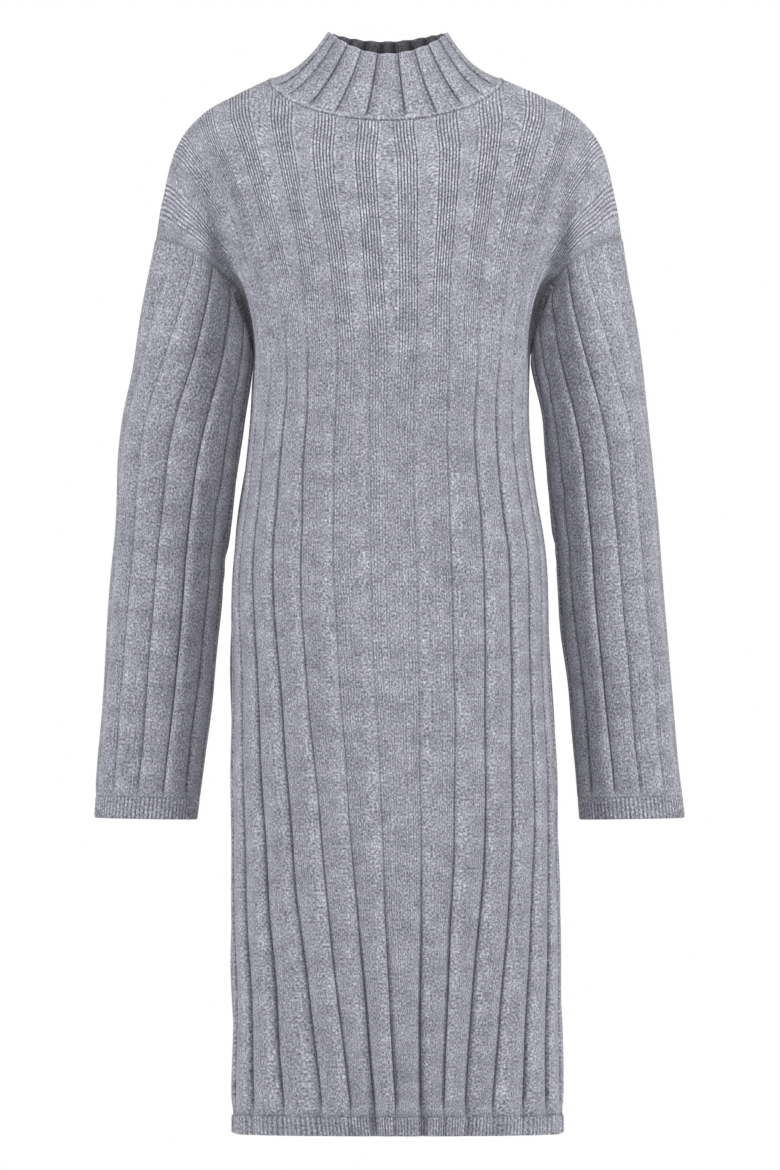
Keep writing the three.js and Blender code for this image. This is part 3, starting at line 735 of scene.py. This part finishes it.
def make_cloth(name, outer, inner, uv, painted_shading, closed, side):
    """One closed wall of cloth, in metres. inner has every fourth row and column of outer."""
    rows, cols = outer.shape[:2]
    in_rows, in_cols = inner.shape[:2]
    first_inner = rows * cols
    last = 0 if closed else 1

    def outer_id(i, j):
        return i * cols + j % cols

    def inner_id(i, j):
        return first_inner + i * in_cols + j % in_cols

    i, j = quad_corners(rows - 1, cols - last)
    k, m = quad_corners(in_rows - 1, in_cols - last)
    k, m = k[:, ::-1], m[:, ::-1]
    quad_faces = np.concatenate([outer_id(i, j), inner_id(k, m)])
    quad_uv = [uv[i, j].reshape(-1, 2), uv[k * INNER_STEP, m * INNER_STEP].reshape(-1, 2)]
    rim_faces, rim_uv = [], []
    for inside, outside in rim_corners(rows, cols, in_rows, in_cols, closed):
        rim_faces.append([inner_id(*q) for q in inside] + [outer_id(*q) for q in outside])
        rim_uv += [uv[q[0] * INNER_STEP, q[1] * INNER_STEP] for q in inside] + [uv[q] for q in outside]

    corners = np.concatenate([quad_faces.ravel(), [c for face in rim_faces for c in face]])
    sizes = np.concatenate([np.full(len(quad_faces), 4), [len(face) for face in rim_faces]]).astype(int)
    loops_uv = np.concatenate([*quad_uv, np.array(rim_uv)])
    starts = np.concatenate([[0], np.cumsum(sizes)[:-1]])
    if side < 0:
        order = np.repeat(2 * starts + sizes - 1, sizes) - np.arange(len(corners))
        corners, loops_uv = corners[order], loops_uv[order]

    mesh = bpy.data.meshes.new(name)
    mesh.vertices.add(first_inner + in_rows * in_cols)
    points = np.concatenate([outer.reshape(-1, 3), inner.reshape(-1, 3)]) * MM
    mesh.vertices.foreach_set("co", points.ravel().astype(np.float32))
    mesh.loops.add(len(corners))
    mesh.loops.foreach_set("vertex_index", corners.astype(np.int32))
    mesh.polygons.add(len(sizes))
    mesh.polygons.foreach_set("loop_start", starts.astype(np.int32))
    mesh.polygons.foreach_set("use_smooth", np.arange(len(sizes)) < len(quad_faces))
    mesh.uv_layers.new(name="knit").data.foreach_set("uv", loops_uv.ravel().astype(np.float32))
    # Painted shading per point: painted shade above 0, painted highlight below 0
    painted_shading = np.clip(np.broadcast_to(painted_shading, (rows, cols)), -1, 1)
    # Painted shade over the whole inner wall, darker still behind the grooves
    inside = INSIDE_SHADE + INSIDE_GROOVE_SHADE * np.maximum(coarse(painted_shading), 0)
    values = np.concatenate([painted_shading.ravel(), inside.ravel()])
    mesh.attributes.new("painted_shading", "FLOAT", "POINT").data.foreach_set("value", values.astype(np.float32))
    mesh.update(calc_edges=True)
    mesh.validate()
    piece = bpy.data.objects.new(name, mesh)
    bpy.context.collection.objects.link(piece)
    return piece


def knit_uv(outer, down, start):
    """Metres over the cloth: across by its mean length from column start, and down as given in mm."""
    steps = np.linalg.norm(np.diff(outer, axis=1), axis=-1).mean(axis=0) * MM
    across = np.concatenate([[0], np.cumsum(steps)])
    down = np.broadcast_to(down * MM, outer.shape[:2])
    return np.stack(np.broadcast_arrays(across - across[start], down), -1)


def panel_grid():
    """Column numbers over a panel from the middle out, and their sides."""
    half = REPEAT_COLUMNS * BODY_REPEATS // 2
    number = np.arange(-half, half + 1)
    return np.abs(number), np.sign(number)


def armhole_turn(along):
    """Where a row of the panels ends on the armhole, as a turn from the shoulder down."""
    return (1 - (np.clip(along, BELOW_SHARE, 1) - BELOW_SHARE) / (1 - BELOW_SHARE)) / 2


def panel_ribs(along, z, opened):
    """The rib number at each row and column of a panel, which wanders a little down the cloth."""
    number, side = panel_grid()
    repeat, part = number // REPEAT_COLUMNS, number % REPEAT_COLUMNS
    band = np.where(along < BELOW_SHARE, read(BODY, body_height(along), "band"), YOKE_BAND)
    ends = 1 - smooth((along - FINE_ENDS["from"]) / FINE_ENDS["over"])
    place = repeat_places(part, band + FINE_BAND * opened * ends, 1 - opened)
    s, still = BODY_SWAY, BODY_STILL
    sway = np.sin(z / s["long"] + s["phases"][0] * repeat * side)
    sway = sway + s["share"] * np.sin(z / s["short"] + s["phases"][1] * repeat + side)
    free = smooth(number / still["middle"]) * smooth((EDGE * REPEAT_COLUMNS - number) / still["edge"])
    free = free * smooth((1 - along) / still["top"])
    return side * np.minimum(repeat + place + s["size"] * sway * free, EDGE), band


def panel_normals(rib, along, face):
    """Level at the shoulder seam, sideways at the side seams, and shared with the sleeve at the armhole."""
    n = body_normals(rib, along, face)
    flat_seam = (np.abs(rib) >= COLLAR_EDGE) & (along >= 1)
    n[..., 1] = np.where(flat_seam, 0, n[..., 1])
    n = unit(n)
    turn = armhole_turn(along[:, 0])
    for column, hand in ((0, -1), (-1, 1)):
        shared = armhole_normals(hand, turn if face < 0 else (1 - turn) % 1)
        n[:, column] = np.where(along > BELOW_SHARE, shared, vec(hand, 0, 0))
    return n


def body_piece(face):
    """The front or back panel, from the hem band up to the collar and shoulder seams."""
    along = np.array(BODY_ROWS)[:, None]
    number, side = panel_grid()
    repeat, part = number // REPEAT_COLUMNS, number % REPEAT_COLUMNS
    z = body_height(np.minimum(along, BELOW_SHARE)) + np.maximum(along - BELOW_SHARE, 0) * YOKE_HEIGHT
    from_middle = smooth((number / REPEAT_COLUMNS - MIDDLE["from"]) / MIDDLE["over"])
    closing = np.clip(from_middle + smooth((CLOSED_FROM["z"] - z) / CLOSED_FROM["over"]), 0, 1)
    opened = read(RIB_STATE, z, "open")
    opened = opened + (1 - opened) * MIDDLE["open"] * (1 - closing)
    rib, band = panel_ribs(along, z, opened)
    depth = read(RIB_STATE, z, "depth") * depth_change(repeat * side, z)
    depth = depth * mix(MIDDLE["depth"], 1, closing)

    at_hem = smooth(1 - along / HEM_BLEND)
    soft = -depth * flute_shape(rib, band) * FLUTE_DEPTH
    full = mix(relief(part, opened, depth, 1), soft, at_hem)
    plain = mix(relief(part, opened, depth, 0), soft, at_hem)
    form = body(rib, along, face)
    n = panel_normals(rib, along, face)
    turn = armhole_turn(along)
    from_edge = (EDGE - np.abs(rib)) * EDGE_REPEAT
    from_top = (1 - along) * TOP_RUN
    edge_seam, top_seam = bell(from_edge, SEAM_WIDTH), bell(from_top, SEAM_WIDTH)
    held = (1 - bell(from_edge, PANEL_FLAT["edge"])) * (1 - bell(from_top, PANEL_FLAT["top"]))
    waves = body_waves(rib, along, face) * held * smooth((1 - along) / PANEL_FLAT["waves"])
    drawn = -skirt_fold(rib, along, face) - fold_depth(form, face) * held + waves
    drawn = drawn - underarm_crease(turn, from_edge) - SEAM_DROP * np.minimum(edge_seam + top_seam, 1)
    outer = form + n * (drawn + full * held)[..., None]
    inner = coarse(form + n * (drawn + plain * held - WALL)[..., None])

    # Painted shade in grooves, between fine ribs, at seams and under the arm; painted highlight on ribs and
    # lips
    edge_rib = np.where((part == LOW_START) | (part == LOW_END), EDGE_RIB, 1)
    inside, ribs = low_band(part)
    fine_rib_shade = -ribs * edge_rib * mix(FINE_SHADE["closed"], FINE_SHADE["open"], opened)
    strength = np.clip(depth / GROOVE["full_depth"], GROOVE["least"], GROOVE["most"])
    groove = bell(part, GROOVE["width"], LOW_END) * strength - PAINTED_RIDGE_HIGHLIGHT * bell(part, 1, STEP_END + 0.5)
    groove = groove * (1 - at_hem) * mix(MIDDLE["groove"], 1, closing)
    groove = groove - lines(part, MIDDLE_HIGHLIGHT_LINES) * (1 - closing)
    under = underarm_shade(turn, from_edge, UNDERARM_SHADE["panel"]) * (along > UNDERARM_SHADE["above"])
    seams = SEAM_SHADE["armhole"] * edge_seam + SEAM_SHADE["top"] * top_seam
    painted_shading = fine_rib_shade - OPEN_BAND_PAINTED_LIGHT * opened * inside + groove * (1 - opened) + seams + under
    uv = knit_uv(outer, along * BODY_RUN, len(number) // 2)
    name = "dress_front" if face < 0 else "dress_back"
    return make_cloth(name, outer, inner, uv, painted_shading, False, -face)


def band_relief(columns, below, height):
    """How far both sides of a 1x1 rib band stand out, and its painted shading, at mm below its top."""
    wave = np.cos(columns * TURN / BAND_COLUMNS)
    top, roll = BAND_TOP, BAND_ROLL
    at_top = bell(below, top["over"])
    foot = np.clip((roll["over"] - (height - below)) / roll["over"], 0, 1) ** 2
    outside = BAND_HEIGHT * wave * (1 - top["flat"] * at_top) - top["sink"] * at_top
    # Painted highlight on the ribs and painted shade between them, fainter at the top
    painted_shading = -BAND_SHADE * wave * (1 - top["pale"] * at_top)
    return outside - roll["outside"] * foot, roll["inside"] * foot - WALL, painted_shading


def hem_piece(face):
    """The narrow 1x1 rib band under a panel."""
    drops = np.array(HEM_ROWS)[:, None]
    along = -drops * BELOW_SHARE / (DRESS_LENGTH - HEM_BAND + UNDERARM_Z)
    half = HEM_RIBS * BAND_COLUMNS // 2
    columns = np.arange(-half, half + 1)
    rib = columns * EDGE / half
    band = read(BODY, body_height(along), "band")
    repeat = np.floor(np.abs(rib)) * np.sign(rib)
    depth = RIB_STATE["depth"][0] * depth_change(repeat, DEPTH_CHANGE["hem_z"])
    form = body(rib, along, face)
    n = body_normals(rib, 0.0, face)
    n[0], n[-1] = vec(-1, 0, 0), vec(1, 0, 0)
    from_edge = (EDGE - np.abs(rib)) * HEM_REPEAT
    held = 1 - bell(from_edge, PANEL_FLAT["edge"])
    drawn = body_waves(rib, 0.0, face) * held - skirt_fold(rib, along, face)
    drawn = drawn - depth * flute_shape(rib, band) * FLUTE_DEPTH * held
    drawn = drawn - SEAM_DROP * bell(from_edge, SEAM_WIDTH)
    outside, inside, painted_shading = band_relief(columns, drops, HEM_BAND)
    corner = np.clip(1 - from_edge / HEM_CORNER, 0, 1)
    lift = HEM_CORNER * (1 - np.sqrt(1 - corner**2)) * drops / HEM_BAND
    form = form + vec(0, 0, lift)
    outer = form + n * (drawn + outside + HEM_PROUD)[..., None]
    inner = coarse(form + n * (drawn + inside)[..., None])
    uv = knit_uv(outer, along * BODY_RUN, half)
    name = "dress_hem_front" if face < 0 else "dress_hem_back"
    return make_cloth(name, outer, inner, uv, painted_shading, False, -face)


def sleeve_fold(side, turn, along):
    depth = 0
    for f in SLEEVE_FOLDS:
        if f["side"] != side:
            continue
        across = (turn - f["turn"] + 0.5) % 1 - 0.5
        off = (along - f["along"] - f["slant"] * across) * SLEEVE_RUN
        depth = depth + f["depth"] * bell(across, f["reach"]) * bell(off, f["width"])
    return depth


def round_ribs(tube):
    """Columns round a tube, and their repeats and parts, mirrored from turn 0 to the far side."""
    per_repeat = tube["columns"]
    total = per_repeat * tube["repeats"]
    columns = np.arange(total + 1)
    number = np.minimum(columns, total - columns)
    half = np.where(columns <= total // 2, 1, -1)
    return columns, number // per_repeat, number % per_repeat, half


def sleeve_piece(side):
    """A sleeve, a tube of closed ribs that grow deeper towards the cuff."""
    tube, flat = SLEEVE_TUBE, SLEEVE_FLAT
    columns, repeat, part, half = round_ribs(tube)
    along = np.array(SLEEVE_ROWS)[:, None]
    s, still = SLEEVE_SWAY, SLEEVE_STILL
    sway = np.sin(along * s["long"] + s["phases"][0] * repeat * half)
    sway = sway + s["share"] * np.sin(along * s["short"] + s["phases"][1] * repeat)
    free = smooth(part / still["crown"]) * smooth((tube["columns"] - part) / still["step"])
    place = repeat + tube_places(part, SLEEVE_BAND, tube) + s["size"] * sway * free
    turn = np.where(half > 0, place / SLEEVE_REPEATS, 1 - place / SLEEVE_REPEATS)
    turn = np.where(columns == 0, 0.0, turn)

    from_top, from_end = along * SLEEVE_RUN, (1 - along) * SLEEVE_RUN
    d = SLEEVE_DEPTH
    change = d["change"] * np.sin(d["phases"][0] * repeat + half + d["phases"][1] * along)
    depth = mix(d["top"], d["end"], smooth(along / d["over"])) * (1 + change)
    step = -depth * piecewise(part, SLEEVE_STEP)
    lip = LIP * bell(part, 1, tube["low_end"] + STEP_END - LOW_END + 0.5)
    fine = lip + CLOSED_HEIGHT * np.cos(part * math.pi / 2)
    held = (1 - bell(from_top, flat["top"])) * (1 - flat["end_share"] * bell(from_end, flat["end"]))
    drawn = undulation(SLEEVE_WAVES, turn, along, side) * held
    drawn = drawn - sleeve_fold(side, turn, along) * smooth(along / flat["folds"])
    drawn = drawn - underarm_crease(turn % 1, from_top)
    seams = bell(from_top, SEAM_WIDTH) + SLEEVE_END["share"] * bell(from_end, SLEEVE_END["width"])
    drawn = drawn - SEAM_DROP * seams
    form = sleeve(side, turn, along)
    n = sleeve_normals(side, turn, along)
    n[0] = armhole_normals(side, turn[0] % 1)
    outer = form + n * (drawn + (step + fine) * held)[..., None]
    inner = coarse(form + n * (drawn + step * held - WALL)[..., None])

    # Painted shade in the grooves, at the armhole seam and under the arm; painted highlight on each ridge
    seam = SEAM_SHADE["armhole"] * bell(from_top, SEAM_WIDTH)
    under = underarm_shade(turn % 1, from_top, UNDERARM_SHADE["sleeve"])
    painted_shading = lines(part, SLEEVE_LINES) * smooth((1 - along) / flat["grooves"]) + seam + under
    uv = knit_uv(outer, from_top, 0)
    name = "dress_sleeve_left" if side < 0 else "dress_sleeve_right"
    return make_cloth(name, outer[:, :-1], inner[:, :-1], uv, painted_shading[:, :-1], True, side)


def cuff_piece(side):
    """The narrow 1x1 rib band at the end of a sleeve."""
    below = np.array(CUFF_ROWS)[:, None]
    columns = np.arange(CUFF_RIBS * BAND_COLUMNS + 1)
    turn = columns / columns[-1]
    form = sleeve(side, turn, 1.0, below)
    n = sleeve_normals(side, turn, 1.0)
    waves = CUFF_WAVES * undulation(SLEEVE_WAVES, turn, 1.0, side)
    outside, inside, painted_shading = band_relief(columns, below, CUFF_BAND)
    outer = form + n * (waves + outside - CUFF_SINK)[..., None]
    inner = coarse(form + n * (waves + inside)[..., None])
    uv = knit_uv(outer, SLEEVE_RUN + below, 0)
    name = "dress_cuff_left" if side < 0 else "dress_cuff_right"
    return make_cloth(name, outer[:, :-1], inner[:, :-1], uv, painted_shading[:, :-1], True, side)


def collar_shade(part, from_seam, from_rim):
    """Painted shade in grooves, lower bands and seam; painted highlight on ridges, seam chain and rim."""
    low = COLLAR_LOW
    band = low["shade"] * smooth((part - low["from"]) / low["over"]) * (part < COLLAR_TUBE["low_end"])
    ribs = (band + lines(part, COLLAR_LINES)) * smooth((from_seam - low["seam"]) / low["seam_over"])
    return ribs + lines(from_seam, COLLAR_SEAM_LINES) + lines(from_rim, COLLAR_RIM_LINES)


def collar_piece():
    """The collar, a tube of ribs whose rim dips in front and waves over them."""
    columns, repeat, part, half = round_ribs(COLLAR_TUBE)
    along = np.array(COLLAR_ROWS)[:, None]
    place = (repeat + tube_places(part, COLLAR_BAND, COLLAR_TUBE)) / COLLAR_REPEATS
    turn = np.where(columns == 0, 0.0, np.where(half > 0, place, 1 - place))
    form = collar(turn, along)
    n = collar_normals(turn, along)
    n[0] = collar_seam_normals(turn % 1)

    from_seam, from_rim = along * COLLAR_RUN, (1 - along) * COLLAR_RUN
    d, r, c = COLLAR_DEPTH, COLLAR_RIBS, CHAIN
    change = d["change"] * np.sin(d["phase"] * repeat * half + 1)
    held = smooth((from_seam - r["from"]) / r["over"])
    step = -mix(d["seam"], d["rim"], smooth(along)) * (1 + change) * piecewise(part, COLLAR_STEP) * held
    links = 1 + c["links"] * np.cos(columns * math.pi * c["per_column"])
    chain = c["height"] * bell(from_seam, c["width"], c["at"]) * links
    ribs = r["height"] * np.cos(part * math.pi) * held
    roll = np.clip((ROLL["over"] - from_rim) / ROLL["over"], 0, 1) ** 2
    seam = SEAM_DROP * bell(from_seam, COLLAR_SEAM_WIDTH)
    wavy = RIM_WAVE * np.cos(place * TURN * COLLAR_REPEATS) * smooth((along - 0.5) / 0.5)
    drop = RIM_DROP["all_round"] + RIM_DROP["front"] * np.maximum(np.cos(turn * TURN), 0)
    waves = undulation(COLLAR_WAVES, turn, 0.0)
    form = form + vec(0, 0, wavy + (waves - drop) * smooth(along))
    outer = form + n * (step + ribs + chain - seam - ROLL["outside"] * roll)[..., None]
    inner = coarse(form + n * (step * r["inside"] - WALL - seam + ROLL["inside"] * roll)[..., None])
    uv = knit_uv(outer, from_seam, 0)
    painted_shading = collar_shade(part, from_seam, from_rim)
    return make_cloth("dress_collar", outer[:, :-1], inner[:, :-1], uv, painted_shading[:, :-1], True, 1)


def knit_material(name, brightness):
    """Grey marl yarn: light and dark fibres fleck the stitches, and run on along the courses."""
    material = bpy.data.materials.new(name)
    material.use_nodes = True
    nodes, links = material.node_tree.nodes, material.node_tree.links
    shader = nodes["Principled BSDF"]

    def node(kind, inputs=(), **facts):
        made = nodes.new(kind)
        for key, value in facts.items():
            setattr(made, key, value)
        for key, value in dict(inputs).items():
            if isinstance(value, bpy.types.NodeSocket):
                links.new(value, made.inputs[key])
            else:
                made.inputs[key].default_value = value
        return made

    def math_node(operation, *values):
        return node("ShaderNodeMath", enumerate(values), operation=operation).outputs[0]

    def noise(vector, facts):
        scaled = node("ShaderNodeVectorMath", {0: vector, 1: facts["scale"]}, operation="MULTIPLY")
        inputs = {"Vector": scaled.outputs[0], "Scale": 1.0}
        inputs.update({"Detail": facts["detail"], "Roughness": facts["rough"]})
        return node("ShaderNodeTexNoise", inputs).outputs["Fac"]

    knit = node("ShaderNodeUVMap", uv_map="knit").outputs[0]
    place = node("ShaderNodeTexCoord").outputs["Object"]
    fleck = noise(knit, FLECKS)
    value = 0.5 * (1 - FLECKS["weight"] - STREAKS["weight"] - MOTTLES["weight"])
    for seen, facts in ((fleck, FLECKS), (noise(knit, STREAKS), STREAKS), (noise(place, MOTTLES), MOTTLES)):
        value = math_node("MULTIPLY_ADD", seen, facts["weight"], value)
    ramp = node("ShaderNodeValToRGB", {"Fac": value})
    stops = ramp.color_ramp.elements
    stops[0].position, stops[0].color = MARL_PLACES["dark"], MARL["dark"]
    stops[1].position, stops[1].color = MARL_PLACES["light"], MARL["light"]
    stops.new(MARL_PLACES["mid"]).color = MARL["mid"]

    # Painted shading scales the colour: painted shade where it is above 0, painted highlight where below 0
    painted_shading = node("ShaderNodeAttribute", attribute_name="painted_shading").outputs["Fac"]
    shade = math_node("MULTIPLY_ADD", painted_shading, -PAINTED_SHADING_WEIGHT, brightness)
    coloured = node("ShaderNodeVectorMath", {0: ramp.outputs[0], "Scale": shade}, operation="SCALE")
    links.new(coloured.outputs[0], shader.inputs["Base Color"])

    parts = node("ShaderNodeSeparateXYZ", {0: knit}).outputs
    wale = math_node("ABSOLUTE", math_node("SINE", math_node("MULTIPLY", parts[0], TURN * STITCHES)))
    slant = math_node("MULTIPLY", wale, 2.0)
    course = math_node("SINE", math_node("MULTIPLY_ADD", parts[1], TURN * COURSES, slant))
    stitch = math_node("MULTIPLY_ADD", course, 0.5, wale)
    raised = {"Height": math_node("MULTIPLY_ADD", fleck, 1.5, stitch), "Strength": STITCH_BUMP}
    bump = node("ShaderNodeBump", {**raised, "Distance": STITCH_DEPTH}).outputs[0]
    links.new(bump, shader.inputs["Normal"])
    for name, amount in YARN.items():
        shader.inputs[name].default_value = amount
    return material


def dress():
    rib = knit_material("rib_knit_look", 1.0)
    # The rib bands' copy of the yarn is 3% darker: painted shade
    band = knit_material("band_knit_look", 0.97)
    made = {}
    for face, name in ((-1, "front"), (1, "back")):
        made[name] = body_piece(face)
        made["hem_rib_" + name] = hem_piece(face)
    for side, name in ((-1, "left"), (1, "right")):
        made["sleeve_" + name] = sleeve_piece(side)
        made["cuff_rib_" + name] = cuff_piece(side)
    made["collar"] = collar_piece()
    for node, piece in made.items():
        narrow = "rib_" in node
        piece.data.materials.append(band if narrow else rib)
        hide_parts(node)
        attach(piece, "root")
    return made


def floor():
    """A round pale disc under the dress, out of the main view."""
    material = bpy.data.materials.new("pale_floor")
    material.use_nodes = True
    shader = material.node_tree.nodes["Principled BSDF"]
    shader.inputs["Base Color"].default_value = FLOOR["colour"]
    shader.inputs["Roughness"].default_value = FLOOR["roughness"]
    turns = [TURN * i / FLOOR["corners"] for i in range(FLOOR["corners"])]
    ring = [(FLOOR["reach"] * math.cos(a), FLOOR["reach"] * math.sin(a), FLOOR["z"]) for a in turns]
    mesh = bpy.data.meshes.new("floor")
    mesh.from_pydata(ring, [], [list(range(len(ring)))])
    mesh.materials.append(material)
    disc = bpy.data.objects.new("floor", mesh)
    bpy.context.collection.objects.link(disc)


def light(name, at, look, width, height, watts):
    data = bpy.data.lights.new(name, "AREA")
    data.shape = "RECTANGLE"
    data.size, data.size_y, data.energy = width, height, watts
    lamp = bpy.data.objects.new(name, data)
    lamp.location = at
    away = Vector(look) - Vector(at)
    lamp.rotation_euler = away.to_track_quat("-Z", "Y").to_euler()
    bpy.context.collection.objects.link(lamp)


def studio():
    """Soft boxes in a pale room that shows as white and gives little light of its own."""
    world = bpy.data.worlds.new("studio")
    world.use_nodes = True
    shade = world.node_tree.nodes["Background"]
    shade.inputs["Color"].default_value = (1, 1, 1, 1)
    ray = world.node_tree.nodes.new("ShaderNodeLightPath")
    strength = world.node_tree.nodes.new("ShaderNodeMapRange")
    strength.inputs["To Min"].default_value = AMBIENT
    strength.inputs["To Max"].default_value = 1.0
    world.node_tree.links.new(ray.outputs["Is Camera Ray"], strength.inputs["Value"])
    world.node_tree.links.new(strength.outputs[0], shade.inputs["Strength"])
    bpy.context.scene.world = world
    bpy.context.scene.view_settings.view_transform = "Standard"
    for name, at, look, width, watts in LIGHTS:
        light(name, at, look, width, 2 * width, watts)


def camera():
    """Straight on from the front, with the photo's 1170 pixels over 1.1115 m of height."""
    data = bpy.data.cameras.new("camera")
    data.sensor_width = CAMERA["sensor"]
    data.lens = CAMERA["sensor"] * CAMERA["distance"] / CAMERA["photo_height"]
    data.clip_end = CAMERA["clip_end"]
    lens = bpy.data.objects.new("camera", data)
    lens.location = (0, -CAMERA["distance"], CAMERA["z"])
    lens.rotation_euler = (math.pi / 2, 0, 0)
    bpy.context.collection.objects.link(lens)
    bpy.context.scene.camera = lens


pieces = dress()
floor()
studio()
camera()
